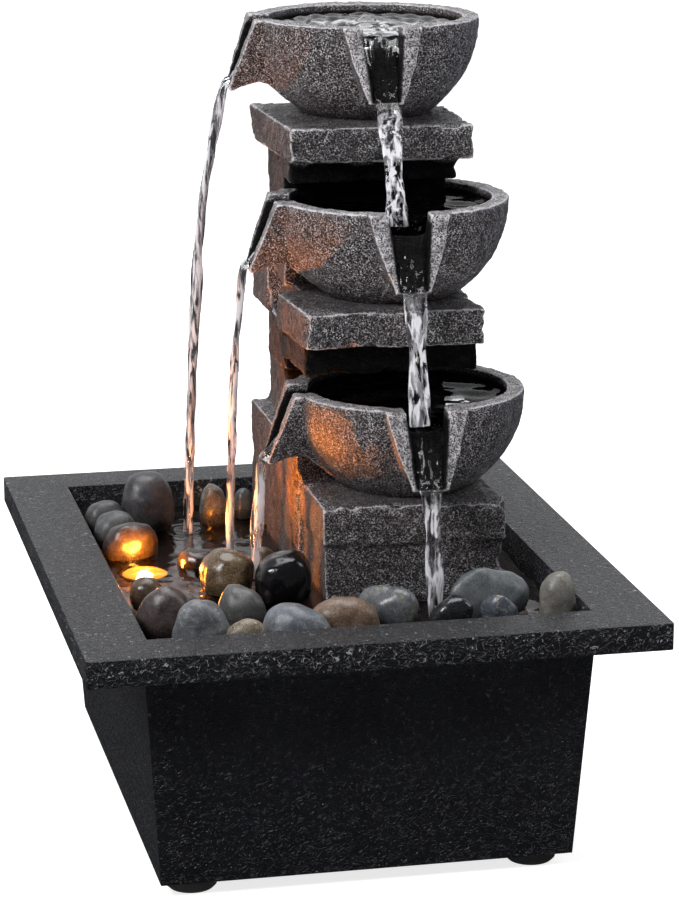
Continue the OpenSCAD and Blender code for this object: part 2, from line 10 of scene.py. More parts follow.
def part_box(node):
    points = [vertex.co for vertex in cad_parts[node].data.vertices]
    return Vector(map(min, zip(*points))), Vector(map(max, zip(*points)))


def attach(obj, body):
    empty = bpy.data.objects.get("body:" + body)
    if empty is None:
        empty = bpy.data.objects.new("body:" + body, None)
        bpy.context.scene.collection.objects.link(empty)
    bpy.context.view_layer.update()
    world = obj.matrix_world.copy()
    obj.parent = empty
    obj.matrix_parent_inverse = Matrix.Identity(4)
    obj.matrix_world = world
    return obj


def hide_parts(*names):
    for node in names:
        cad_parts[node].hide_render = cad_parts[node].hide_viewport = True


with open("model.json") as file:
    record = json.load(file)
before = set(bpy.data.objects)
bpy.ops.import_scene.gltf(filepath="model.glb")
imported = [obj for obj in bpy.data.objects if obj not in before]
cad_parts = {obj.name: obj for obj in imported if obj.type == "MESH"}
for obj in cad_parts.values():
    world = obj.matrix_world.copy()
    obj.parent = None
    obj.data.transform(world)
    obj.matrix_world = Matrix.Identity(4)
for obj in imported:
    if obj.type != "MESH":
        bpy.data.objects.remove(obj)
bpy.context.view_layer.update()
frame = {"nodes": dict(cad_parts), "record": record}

NODES = frame["nodes"]
BODY_OF = {n: b for b, ns in frame["record"]["behaviour"]["bodies"].items() for n in ns}
MM = 0.001

scene = bpy.context.scene
scene.view_settings.view_transform = "Standard"

# ------------------------------------------------------------------ camera

cam_data = bpy.data.cameras.new("camera")
cam_data.sensor_width = 36
cam_data.lens = 128.37
cam_data.shift_x = -0.0124
cam_data.shift_y = 0.0005
cam_data.clip_start = 0.05
camera = bpy.data.objects.new("camera", cam_data)
camera.location = (-0.229783, -1.118548, 0.422932)
camera.rotation_euler = (math.pi / 2 - 0.25, 0, -0.215)
scene.collection.objects.link(camera)
scene.camera = camera


# ------------------------------------------------------------ mesh helpers

def lattice(cell, seed):
    """A repeatable random number from -1 to 1 for each whole-number cell."""
    n = cell[..., 0] * 374761393 + cell[..., 1] * 668265263 + cell[..., 2] * 1440662683 + seed * 1013904223
    n = (n ^ (n >> 13)) * 1274126177
    n = n & 0x7FFFFFFF
    n = (n ^ (n >> 16)) & 0xFFFF
    return n / 32767.5 - 1.0


def noise(points, size, seed, octaves=2):
    """Smooth noise from about -1 to 1 at points (n, 3), with lumps of the given size."""
    total, weight, top = np.zeros(len(points)), 1.0, 0.0
    for k in range(octaves):
        q = points / (size / 2 ** k) + 17.3 * k
        i = np.floor(q).astype(np.int64)
        f = q - i
        u = f * f * f * (f * (f * 6 - 15) + 10)
        value = np.zeros(len(points))
        for dx in (0, 1):
            wx = u[:, 0] if dx else 1 - u[:, 0]
            for dy in (0, 1):
                wy = u[:, 1] if dy else 1 - u[:, 1]
                for dz in (0, 1):
                    wz = u[:, 2] if dz else 1 - u[:, 2]
                    value += wx * wy * wz * lattice(i + np.array([dx, dy, dz]), seed + k)
        total += value * weight
        top += weight
        weight *= 0.5
    return total / top * 1.6


def step(a, b, x):
    """A smooth step of x from 0 at a to 1 at b."""
    t = np.clip((x - a) / (b - a), 0, 1)
    return t * t * (3 - 2 * t)


def new_object(name, mesh):
    ob = bpy.data.objects.new(name, mesh)
    scene.collection.objects.link(ob)
    return ob


def from_arrays(name, co, faces):
    """A new object from points in metres and faces."""
    mesh = bpy.data.meshes.new(name)
    mesh.from_pydata(np.asarray(co, float).tolist(), [], [tuple(map(int, f)) for f in faces])
    mesh.update()
    return new_object(name, mesh)


def edit(mesh, work):
    """Runs work on a bmesh of mesh and writes it back."""
    bm = bmesh.new()
    bm.from_mesh(mesh)
    work(bm)
    bm.to_mesh(mesh)
    bm.free()


def copy_nodes(name, *nodes):
    """A new object that holds copies of CAD nodes' meshes, welded."""
    bm = bmesh.new()
    for n in nodes:
        bm.from_mesh(NODES[n].data)
    bmesh.ops.remove_doubles(bm, verts=bm.verts, dist=2e-6)
    mesh = bpy.data.meshes.new(name)
    bm.to_mesh(mesh)
    bm.free()
    return new_object(name, mesh)


def apply_all(ob):
    """Makes the modifiers' result the object's mesh."""
    graph = bpy.context.evaluated_depsgraph_get()
    mesh = bpy.data.meshes.new_from_object(ob.evaluated_get(graph), depsgraph=graph)
    ob.modifiers.clear()
    ob.data = mesh
    return ob


def remesh(ob, voxel):
    mod = ob.modifiers.new("remesh", "REMESH")
    mod.mode = "VOXEL"
    mod.voxel_size = voxel
    return apply_all(ob)


def get_co(mesh):
    co = np.empty(len(mesh.vertices) * 3, np.float32)
    mesh.vertices.foreach_get("co", co)
    return co.reshape(-1, 3).astype(float)


def set_co(mesh, co):
    mesh.vertices.foreach_set("co", co.astype(np.float32).ravel())
    mesh.update()


def get_normals(mesh):
    no = np.empty(len(mesh.vertices) * 3, np.float32)
    mesh.vertex_normals.foreach_get("vector", no)
    return no.reshape(-1, 3).astype(float)


def get_edges(mesh):
    e = np.empty(len(mesh.edges) * 2, np.int32)
    mesh.edges.foreach_get("vertices", e)
    return e.reshape(-1, 2)


def relax(co, edges, rounds):
    """Each round moves every vertex half way to the mean of its neighbours."""
    a, b = edges[:, 0], edges[:, 1]
    n = len(co)
    degree = np.maximum(np.bincount(a, minlength=n) + np.bincount(b, minlength=n), 1)
    for _ in range(rounds):
        mean = np.stack([np.bincount(a, co[b, k], n) + np.bincount(b, co[a, k], n) for k in range(3)], 1)
        co = co + (mean / degree[:, None] - co) * 0.5
    return co


def smooth_shade(mesh, angle=None):
    mesh.polygons.foreach_set("use_smooth", [True] * len(mesh.polygons))
    if angle is not None:
        mesh.set_sharp_from_angle(angle=math.radians(angle))


def attribute(mesh, name, values):
    """One number on each vertex, which materials read by name."""
    layer = mesh.attributes.get(name) or mesh.attributes.new(name, "FLOAT", "POINT")
    layer.data.foreach_set("value", values.astype(np.float32))


def place(ob, body, material, replaced=()):
    """Gives a piece its material, its body and the CAD nodes that it stands for."""
    ob.data.materials.clear()
    ob.data.materials.append(material)
    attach(ob, body)
    if replaced:
        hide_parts(*replaced)
    return ob


# -------------------------------------------------------- material helpers

class Nodes:
    """A small builder for one node material. Sizes are in millimetres."""

    def __init__(self, name):
        self.material = bpy.data.materials.new(name)
        self.material.use_nodes = True
        self.tree = self.material.node_tree
        self.tree.nodes.clear()
        self.out = self.tree.nodes.new("ShaderNodeOutputMaterial")
        self.shader = self.tree.nodes.new("ShaderNodeBsdfPrincipled")
        self.join(self.shader.outputs[0], self.out.inputs["Surface"])
        self.where = self.tree.nodes.new("ShaderNodeTexCoord").outputs["Object"]

    def join(self, source, target):
        self.tree.links.new(source, target)

    def put(self, socket, value):
        if isinstance(value, bpy.types.NodeSocket):
            self.join(value, socket)
        elif isinstance(value, (tuple, list)) and len(value) == 3 and socket.type == "RGBA":
            socket.default_value = (*value, 1)
        else:
            socket.default_value = value

    def set(self, **values):
        for name, value in values.items():
            self.put(self.shader.inputs[name.replace("_", " ")], value)

    def scaled(self, size, stretch=(1, 1, 1), turn=(0, 0, 0)):
        """Coordinates in which one unit is size millimetres, longer along the stretched axes."""
        node = self.tree.nodes.new("ShaderNodeMapping")
        node.inputs["Scale"].default_value = [1000 / size / s for s in stretch]
        node.inputs["Rotation"].default_value = turn
        self.join(self.where, node.inputs["Vector"])
        return node.outputs[0]

    def noise(self, size, detail=2.0, rough=0.5, stretch=(1, 1, 1), twist=0.0, turn=(0, 0, 0)):
        node = self.tree.nodes.new("ShaderNodeTexNoise")
        node.inputs["Scale"].default_value = 1.0
        node.inputs["Detail"].default_value = detail
        node.inputs["Roughness"].default_value = rough
        node.inputs["Distortion"].default_value = twist
        self.join(self.scaled(size, stretch, turn), node.inputs["Vector"])
        return node.outputs["Fac"]

    def ramp(self, value, *stops):
        """stops are (place, number or colour)."""
        node = self.tree.nodes.new("ShaderNodeValToRGB")
        elements = node.color_ramp.elements
        while len(elements) < len(stops):
            elements.new(0.5)
        for element, (place_at, colour) in zip(elements, stops):
            element.position = place_at
            element.color = (*colour, 1) if isinstance(colour, (tuple, list)) else (colour,) * 3 + (1,)
        self.join(value, node.inputs[0])
        return node.outputs[0]

    def mix(self, share, a, b, blend="MIX"):
        node = self.tree.nodes.new("ShaderNodeMix")
        node.data_type = "RGBA"
        node.blend_type = blend
        self.put(node.inputs[0], share)
        self.put(node.inputs[6], a)
        self.put(node.inputs[7], b)
        return node.outputs[2]

    def math(self, operation, a, b=0.0):
        node = self.tree.nodes.new("ShaderNodeMath")
        node.operation = operation
        self.put(node.inputs[0], a)
        self.put(node.inputs[1], b)
        return node.outputs[0]

    def attribute(self, name):
        node = self.tree.nodes.new("ShaderNodeAttribute")
        node.attribute_name = name
        return node.outputs["Fac"]

    def axis(self, k):
        """The object's own coordinate k, in metres."""
        node = self.tree.nodes.new("ShaderNodeSeparateXYZ")
        self.join(self.where, node.inputs[0])
        return node.outputs[k]

    def bump(self, height, strength, distance):
        node = self.tree.nodes.new("ShaderNodeBump")
        node.inputs["Strength"].default_value = strength
        node.inputs["Distance"].default_value = distance * MM
        self.join(height, node.inputs["Height"])
        return node.outputs[0]


def moulded(name, colour, rough=0.45, grain=0.6, size=0.8, fade=0.25, specular=0.5, **extra):
    """Moulded plastic, rubber or ceramic: slight cloudiness, fine grain and faint handling marks."""
    n = Nodes(name)
    cloud = n.noise(14, 3)
    fine = n.noise(size, 3, 0.6)
    marks = n.noise(3.5, 4, 0.7, stretch=(1, 5, 1))
    darker = tuple(c * (1 - fade) for c in colour)
    lighter = tuple(min(1, c * (1 + fade) + 0.004) for c in colour)
    n.set(Base_Color=n.mix(n.ramp(cloud, (0.3, 0.0), (0.7, 1.0)), darker, lighter))
    n.set(Roughness=n.ramp(marks, (0.35, max(0.02, rough - 0.09)), (0.65, min(1, rough + 0.1))))
    n.set(Normal=n.bump(fine, grain, 0.12))
    n.shader.inputs["Specular IOR Level"].default_value = specular
    n.set(**extra)
    return n.material


# --------------------------------------------------------------- materials

def leather_grain(name, colour, rough, grain, skirt):
    """Black hammered plastic: raised threads in the bump, and thin pale strokes painted into the colour as
    glints, most of all above height skirt.
    """
    n = Nodes(name)
    worm = n.math("ABSOLUTE", n.math("SUBTRACT", n.noise(2.5, 1, 0.5, twist=1.0), 0.5))
    thread = n.ramp(worm, (0.0, 1.0), (0.08, 0.0))
    fine = n.noise(0.6, 2, 0.6)
    cloud = n.noise(22, 3)
    height = n.math("ADD", n.math("MULTIPLY", thread, 0.8), n.math("MULTIPLY", fine, 0.6))
    # painted glints: thin pale strokes along the grain in the base colour stand in for highlights; high keeps
    # them full above the skirt and faint (0.12) below
    painted_glint = n.math("MULTIPLY", n.ramp(worm, (0.006, 1.0), (0.02, 0.0)),
                    n.ramp(n.noise(1.9, 2, 0.6, turn=(0.5, 0.2, 0.9)), (0.46, 0.0), (0.53, 1.0)))
    high = n.ramp(n.math("SUBTRACT", n.axis(2), skirt), (0.0, 0.12), (0.0006, 1.0))
    base = n.mix(n.ramp(cloud, (0.35, 0.0), (0.65, 1.0)), colour, tuple(c * 1.6 for c in colour))
    n.set(Base_Color=n.mix(n.math("MULTIPLY", painted_glint, high), base, (0.24, 0.24, 0.25)))
    n.set(Roughness=n.ramp(fine, (0.35, rough - 0.1), (0.65, rough + 0.1)))
    n.set(Normal=n.bump(height, grain, 0.8))
    n.shader.inputs["Specular IOR Level"].default_value = 0.45
    return n.material


def stone(name, seed_shift, brown, cracked):
    """Cast stone: near-black with fine pale sand, thin pale edges that are partly dry-brushed wear and partly
    painted highlights, lighter brown runs painted on its left faces as warm side light, painted shade on its
    right faces, and painted shade almost black where the attribute shade is high.
    """
    n = Nodes(name)
    patch = n.noise(24 + seed_shift, 4, 0.6)
    runs = n.noise(5.0, 6, 0.75, stretch=(1, 1, 1.5), twist=0.2)
    sand = n.noise(0.66, 2, 0.8)
    fine = n.noise(0.38, 1, 0.5)
    lumps = n.noise(2.2, 3, 0.65, stretch=(1, 1, 1.5))
    edge, left, cut, shade = (n.attribute(k) for k in ("edge", "left", "cut", "shade"))
    base = n.mix(n.ramp(patch, (0.36, 0.0), (0.64, 1.0)), (0.011, 0.0095, 0.0105), (0.044, 0.030, 0.027))
    # painted light: on faces that look left, the colour turns to lighter brown runs as warm side light, and
    # the pale sand thins there
    warm_side_light = n.mix(n.ramp(runs, (0.36, 0.0), (0.64, 1.0)), (0.034, 0.022, 0.018), (0.130, 0.078, 0.060))
    base = n.mix(n.math("MULTIPLY", left, brown), base, warm_side_light)
    grit = n.math("ADD", n.math("MULTIPLY", sand, 0.6), n.math("MULTIPLY", fine, 0.4))
    dark = n.ramp(grit, (0.42, 1.0), (0.49, 0.0))
    base = n.mix(n.math("MULTIPLY", dark, 0.92), base, (0.003, 0.003, 0.003))
    cover = n.ramp(n.noise(3.6, 4, 0.7), (0.36, 0.3), (0.62, 1.0))
    more = n.math("ADD", grit, n.math("ADD", n.math("MULTIPLY", cut, 0.05), n.math("MULTIPLY", edge, 0.045)))
    pale = n.math("MULTIPLY", n.ramp(more, (0.529, 0.0), (0.563, 1.0)), cover)
    pale = n.math("MULTIPLY", pale, n.math("SUBTRACT", 0.84, n.math("MULTIPLY", left, 0.45 * brown)))
    base = n.mix(pale, base, (0.64, 0.62, 0.65))
    # pale edges: partly rubbed wear, partly painted highlights on the sharp convex edges; the extra pale sand
    # on edges above adds to them
    rub = n.ramp(n.noise(1.1, 4, 0.85), (0.40, 0.0), (0.50, 1.0))
    worn_and_highlit = n.math("MULTIPLY", n.ramp(edge, (0.42, 0.0), (0.62, 1.0)), rub)
    crack = n.math("ABSOLUTE", n.math("SUBTRACT", n.noise(8.5, 5, 0.62, stretch=(1.6, 1, 1), twist=0.4), 0.5))
    crack = n.math("MULTIPLY", n.ramp(crack, (0.002, 1.0), (0.009, 0.0)), cracked)
    base = n.mix(n.math("MULTIPLY", worn_and_highlit, 0.9), base, (0.62, 0.61, 0.64))
    base = n.mix(n.math("MULTIPLY", crack, 0.8), base, (0.003, 0.0025, 0.0025))
    # painted shade: faces that look right are darker and bluer
    base = n.mix(n.attribute("right"), base, (0.42, 0.45, 0.52), "MULTIPLY")
    # painted shade: where the attribute shade is high the colour goes almost black
    base = n.mix(n.math("MULTIPLY", shade, 0.975), base, (0.004, 0.0035, 0.0035))
    n.set(Base_Color=base, Roughness=n.ramp(lumps, (0.3, 0.38), (0.7, 0.66)))
    height = n.math("SUBTRACT", n.math("ADD", grit, n.math("MULTIPLY", lumps, 1.1)), crack)
    n.set(Normal=n.bump(height, 0.95, 0.6))
    # the specular fades where the painted shade is
    n.set(Specular_IOR_Level=n.math("SUBTRACT", 0.55, n.math("MULTIPLY", shade, 0.5)))
    return n.material


def pebble_stone(name, low, high, vein=None, speck=0.5, gloss=0.5, vein_size=9.0, tilt=0.5, amber=0.0):
    """A river pebble: two mottled tones, fine specks, an optional vein, and a wet foot."""
    n = Nodes(name)
    mottle = n.noise(4.2, 6, 0.68, twist=0.3)
    bands = n.noise(5.0, 3, 0.6, stretch=(1, 1, 0.35), twist=1.2, turn=(tilt, 0.3, 0.8))
    tiny = n.noise(0.5, 2, 0.7)
    base = n.mix(n.ramp(mottle, (0.38, 0.0), (0.62, 1.0)), low, high)
    base = n.mix(n.ramp(bands, (0.50, 0.0), (0.72, 0.45)), base, tuple(c * 0.6 for c in low))
    pale = tuple(min(1, c * 1.9 + 0.02) for c in high)
    base = n.mix(n.math("MULTIPLY", n.ramp(tiny, (0.54, 0.0), (0.68, 1.0)), speck), base, pale)
    pits = n.math("MULTIPLY", n.ramp(tiny, (0.32, 1.0), (0.42, 0.0)), speck)
    base = n.mix(pits, base, tuple(c * 0.4 for c in low))
    if vein:
        line = n.noise(vein_size, 4, 0.6, twist=1.0, turn=(0.4, tilt, 0.2))
        ridge = n.math("ABSOLUTE", n.math("SUBTRACT", line, 0.5))
        patches = n.ramp(mottle, (0.42, 0.0), (0.56, 1.0))
        base = n.mix(n.math("MULTIPLY", n.ramp(ridge, (0.003, 0.75), (0.016, 0.0)), patches), base, vein)
    wet = n.ramp(n.math("MULTIPLY", n.axis(2), 10.0), (0.868, 1.0), (0.905, 0.0))
    base = n.mix(n.math("MULTIPLY", wet, 0.6), base, tuple(c * 0.3 for c in low))
    n.set(Base_Color=n.mix(1.0, base, (0.72, 0.72, 0.72), "MULTIPLY"))
    dry = n.ramp(mottle, (0.3, gloss * 0.7), (0.7, gloss * 0.7 + 0.15))
    n.set(Roughness=n.mix(wet, dry, (0.12, 0.12, 0.12)))
    height = n.math("ADD", n.math("MULTIPLY", tiny, 0.4), n.noise(1.8, 3, 0.6))
    n.set(Normal=n.bump(height, 0.35, 0.25))
    return n.material


def water(name, airy=0.0, ripple_size=3.2, ripple=0.25, still=1.333, tint=(0.97, 0.98, 1.0)):
    """Clear water. airy adds pale streaks, partly fine bubbles and partly painted highlights, where the
    attribute "fall" is high, and dark lilac streaks there, painted in for dark surroundings seen through the
    water.
    Where "lively" is low, the water stands and its index of refraction is still."""
    n = Nodes(name)
    waves = n.noise(ripple_size, 2, 0.5, stretch=(1, 1, 4 if airy else 1), twist=0.4)
    n.set(Normal=n.bump(waves, ripple, 0.35))
    if airy:
        streak = n.noise(1.9, 2, 0.5, stretch=(1, 1, 7), twist=0.5)
        # pale streaks on the falling water: partly fine bubbles, partly painted highlights
        foam_and_glint = n.math("MULTIPLY", n.ramp(streak, (0.46, 0.0), (0.58, 1.0)), n.attribute("fall"))
        foam_and_glint = n.math("MULTIPLY", foam_and_glint, airy)
        # dark lilac streaks in the falling water: painted stand-ins for dark surroundings seen through it
        painted_dark_streak = n.math("MULTIPLY", n.ramp(streak, (0.38, 1.0), (0.46, 0.0)), n.attribute("fall"))
        clear = n.mix(n.math("MULTIPLY", painted_dark_streak, 0.6), (0.985, 0.985, 1.0), (0.42, 0.37, 0.42))
        n.set(Base_Color=n.mix(foam_and_glint, clear, (0.93, 0.92, 0.98)))
        n.set(Transmission_Weight=n.math("SUBTRACT", 1.0, foam_and_glint), Roughness=n.math("MULTIPLY", foam_and_glint, 0.25))
        n.set(IOR=n.math("ADD", still, n.math("MULTIPLY", n.attribute("lively"), 1.333 - still)))
    else:
        n.set(Base_Color=n.mix(waves, tint, tuple(min(1, c * 1.03) for c in tint)), Roughness=0.0)
        n.shader.inputs["Transmission Weight"].default_value = 1.0
        n.shader.inputs["IOR"].default_value = still
    return n.material


# ------------------------------------------------------------------- stone

def weathered(name, node, voxel, seed, material, chip_size, chip_depth, cut=None, shade=None, filled=()):
    """A remeshed copy of a CAD node with broken, chipped edges and a sandy, lumpy skin.
    filled lists the corners of recesses closed with rubble, in mm."""
    ob = copy_nodes(name, node)
    for lo, hi in filled:
        size = [b - a for a, b in zip(lo, hi)]
        middle = [(a + b) / 2 * MM for a, b in zip(lo, hi)]
        block = Matrix.Translation(middle) @ Matrix.Diagonal((*size, 1))
        edit(ob.data, lambda bm: bmesh.ops.create_cube(bm, size=MM, matrix=block))
    ob = remesh(ob, voxel)
    mesh = ob.data
    edges = get_edges(mesh)
    near = relax(get_co(mesh), edges, 3)
    set_co(mesh, near)
    normal = get_normals(mesh)
    thin = relax(near, edges, 4)
    soft = relax(thin, edges, 6)
    softer = relax(soft, edges, 45)
    edge = np.einsum("ij,ij->i", near - thin, normal)
    p = near / MM
    chips = step(0.05, 0.75, noise(p, chip_size, seed, 3))
    nicks = step(0.0, 0.8, noise(p, 2.4, seed + 9, 2))
    co = near + (soft - near) * (0.1 + 0.9 * nicks)[:, None]
    co += (softer - soft) * (chip_depth * chips)[:, None]
    skin = 0.16 * noise(p, 1.9, seed + 3, 2) + 0.22 * noise(p, 9.0, seed + 5, 2)
    co += normal * (skin * MM)[:, None]
    set_co(mesh, co)
    # edge is high on sharp convex edges, where the stone paints pale wear and highlights
    attribute(mesh, "edge", np.clip(edge / (voxel * 0.34), 0, 1))
    # left marks faces that look left, where the stone paints warm side light
    attribute(mesh, "left", step(0.45, 0.8, -normal[:, 0]))
    # right marks faces that look right, which the stone paints darker as shade
    attribute(mesh, "right", 0.8 * step(0.15, 0.8, normal[:, 0]))
    attribute(mesh, "cut", cut(p, normal) if cut else np.zeros(len(p)))
    attribute(mesh, "shade", shade(p, normal) if shade else np.zeros(len(p)))
    smooth_shade(mesh)
    return place(ob, BODY_OF[node], material, (node,))


STONE = stone("cast_stone", 0, 0.95, 1.0)
BOWL_STONE = stone("bowl_stone", 9, 0.35, 0.0)
# lengths are in mm
RIM_R = {"upper": 42.6, "middle": 43.4, "lower": 42.6}
TURNS = {"front": math.radians(-94), "left": math.radians(176)}  # the way each channel points
BOWLS = {}          # each bowl's axis, foot height and rim radius
BOWL_H = 36.3       # height of a bowl
DROP = 26.0         # from its rim down to the lips of its channels
REACH = 1.235       # a lip's distance from the bowl's axis, in rim radii
FILL = 3.4          # from its rim down to the water
SLAB = 13.3         # thickness of the slabs under the upper and the middle bowl
for where, r in RIM_R.items():
    lo, hi = (np.array(v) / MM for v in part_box("bowl_" + where))
    cx = hi[0] - r
    BOWLS[where] = dict(x=cx, y=lo[1] + (cx - lo[0]), z=lo[2], r=r)


def bowl_radius(r, z, h):
    """Radius at height z of a round wall that is h high and r wide at the top."""
    return r * (1 - 0.44 * np.clip(1 - z / h, 0, 1) ** 2.45)


def shade_under_slabs(p, normal):
    """Painted shade on front faces from the underside of the middle and upper slabs down to about 36 mm
    below: the recessed course under each slab and the column front below it.
    """
    dark = np.zeros(len(p))
    for where in ("upper", "middle"):
        below = BOWLS[where]["z"] - SLAB - p[:, 2]
        dark = np.maximum(dark, step(36, 20, below) * step(-0.4, 0.6, below))
    return dark * step(-0.3, 0.3, -normal[:, 1])


def chute_faces(b):
    """The cut faces either side of each channel."""
    def cut(p, normal):
        found = np.zeros(len(p))
        for turn in TURNS.values():
            c, d = math.cos(turn), math.sin(turn)
            u = (p[:, 0] - b["x"]) * c + (p[:, 1] - b["y"]) * d
            v = (p[:, 1] - b["y"]) * c - (p[:, 0] - b["x"]) * d
            facing = normal[:, 0] * c + normal[:, 1] * d
            found = np.maximum(found, step(b["r"] - 0.6, b["r"] + 0.8, u) * step(0.62, 0.85, facing)
                               * step(17, 15.5, np.abs(v)))
        rim = step(0.75, 0.95, normal[:, 2]) * step(b["z"] + 34.5, b["z"] + 35.6, p[:, 2])
        return np.maximum(found, 0.7 * rim)
    return cut


def wet_and_shaded_inside(b):
    """The stone under water inside a bowl and its channels, painted almost black: wet stone darkened further
    by painted shade.
    """
    def wet(p, normal):
        x, y, h = p[:, 0] - b["x"], p[:, 1] - b["y"], p[:, 2] - b["z"]
        found = step(-2.2, -3.4, np.hypot(x, y) - bowl_radius(b["r"], h, BOWL_H))
        for turn in TURNS.values():
            c, d = math.cos(turn), math.sin(turn)
            u, v = x * c + y * d, y * c - x * d
            facing = normal[:, 0] * c + normal[:, 1] * d
            half = 7.6 - 2.6 * np.clip((BOWL_H - h) / DROP, 0, 1)
            within = step(half + 0.9, half + 0.2, np.abs(v)) * step(0.5 * b["r"], 0.6 * b["r"], u)
            inward = step(-0.3, 0.0, normal[:, 2] + np.abs(normal[:, 0] * d - normal[:, 1] * c))
            above = step(BOWL_H - DROP - 1.5, BOWL_H - DROP, h)
            found = np.maximum(found, within * inward * above)
        return found * step(BOWL_H - 1.6, BOWL_H - 3.2, h)
    return wet


course_top = BOWLS["middle"]["z"] - SLAB
weathered("stone_pillar", "pillar", 0.72 * MM, 11, STONE, 8.0, 2.3, shade=shade_under_slabs,
          filled=[((-4.8, 27.0, course_top - 17.4), (4.0, 60.0, course_top + 0.6))])
for k, where in enumerate(RIM_R):
    weathered("stone_bowl_" + where, "bowl_" + where, 0.56 * MM, 31 + 7 * k, BOWL_STONE, 9.0, 0.35,
              cut=chute_faces(BOWLS[where]), shade=wet_and_shaded_inside(BOWLS[where]))


# ----------------------------------------------------------------- pebbles

PEBBLES = {
    1: dict(low=(0.040, 0.038, 0.042), high=(0.085, 0.082, 0.088), gloss=0.42),
    2: dict(low=(0.045, 0.046, 0.048), high=(0.080, 0.082, 0.084), gloss=0.5),
    3: dict(low=(0.060, 0.064, 0.066), high=(0.110, 0.114, 0.114), gloss=0.5),
    4: dict(low=(0.035, 0.026, 0.024), high=(0.070, 0.055, 0.050), gloss=0.35),
    5: dict(low=(0.075, 0.066, 0.052), high=(0.210, 0.190, 0.150), speck=0.95, gloss=0.35),
    6: dict(low=(0.045, 0.060, 0.072), high=(0.080, 0.100, 0.115), gloss=0.4),
    7: dict(low=(0.018, 0.015, 0.014), high=(0.045, 0.038, 0.034), gloss=0.2),
    8: dict(low=(0.085, 0.055, 0.030), high=(0.185, 0.125, 0.070), speck=0.8, gloss=0.22),
    9: dict(low=(0.130, 0.115, 0.085), high=(0.200, 0.180, 0.135), gloss=0.35),
    10: dict(low=(0.004, 0.004, 0.005), high=(0.009, 0.009, 0.011), speck=0.1, gloss=0.07),
    11: dict(low=(0.050, 0.036, 0.034), high=(0.115, 0.088, 0.084), gloss=0.42),
    12: dict(low=(0.110, 0.120, 0.130), high=(0.190, 0.200, 0.210), vein=(0.42, 0.43, 0.43), gloss=0.5),
    13: dict(low=(0.070, 0.072, 0.072), high=(0.115, 0.117, 0.115), gloss=0.5),
    14: dict(low=(0.140, 0.110, 0.070), high=(0.260, 0.215, 0.150), speck=0.9, gloss=0.5),
    15: dict(low=(0.105, 0.120, 0.145), high=(0.185, 0.200, 0.225),
             vein=(0.40, 0.41, 0.40), gloss=0.45, tilt=1.1),
    16: dict(low=(0.130, 0.080, 0.052), high=(0.230, 0.155, 0.105), speck=0.8, gloss=0.45),
    17: dict(low=(0.100, 0.110, 0.125), high=(0.180, 0.190, 0.200),
             vein=(0.50, 0.40, 0.16), gloss=0.3, tilt=0.9),
    18: dict(low=(0.090, 0.105, 0.115), high=(0.165, 0.185, 0.190), gloss=0.45),
    19: dict(low=(0.150, 0.145, 0.125), high=(0.230, 0.225, 0.200), vein=(0.34, 0.28, 0.24), gloss=0.5),
    20: dict(low=(0.010, 0.011, 0.013), high=(0.028, 0.030, 0.034), gloss=0.1),
    21: dict(low=(0.055, 0.065, 0.090), high=(0.110, 0.125, 0.150),
             vein=(0.55, 0.50, 0.32), gloss=0.3, tilt=0.2),
    22: dict(low=(0.060, 0.036, 0.022), high=(0.120, 0.080, 0.052), gloss=0.3),
}
for k, look in PEBBLES.items():
    node = "pebble_%02d" % k
    ob = copy_nodes("river_" + node, node)
    remesh(ob, 0.6 * MM)
    mesh = ob.data
    co = relax(get_co(mesh), get_edges(mesh), 4)
    middle = co.mean(0)
    p = co / MM + 100 * k
    out = (co - middle) / np.linalg.norm(co - middle, axis=1)[:, None]
    half = (co.max(0) - co.min(0)) / 2
    unit = (co - middle) / half
    rng = np.random.default_rng(900 + k)
    lean, flat_way = rng.normal(size=3) * [1, 1, 0.35], rng.normal(size=3) * [1, 1, 0.9]
    lean, flat_way = lean / np.linalg.norm(lean), flat_way / np.linalg.norm(flat_way)
    side = unit @ flat_way
    full = (np.abs(unit) ** 4).sum(1) ** -0.25 - 1
    co += (unit * half) * (0.09 * (unit @ lean) + 0.05 * side + 0.24 * full)[:, None]
    facet = np.maximum(0, side - 0.66)
    co -= np.outer(facet * 0.5, flat_way) * half
    shape = 1.1 * noise(p, 15.0, 70 + k, 1) + 0.45 * noise(p, 6.0, 170 + k, 2)
    co += out * (shape * MM)[:, None]
    floor_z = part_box(node)[0].z
    co[:, 2] = np.maximum(co[:, 2], floor_z)
    set_co(mesh, co)
    smooth_shade(mesh)
    place(ob, BODY_OF[node], pebble_stone("pebble_%02d" % k, **look), (node,))


# ------------------------------------------------------------------- water

# the pool's brownish tint (0.50, 0.42, 0.40) darkens the deck seen through the water: painted shade
WATER = water("pool_water", 0.0, 5.0, 0.12, 1.22, (0.50, 0.42, 0.40))
SPRING = water("spring_water", 0.65, 5.0, 0.05, 1.55)
POURING = water("pouring_water", 0.65, 5.0, 0.05, 1.06)
BASIN_WATER = 85.5  # height of the water in the basin
LAND = {}           # where each stream ends
BELOW_LIP = [0, 4, 14, 60, 170]  # places along a fall at which STREAMS gives its sizes


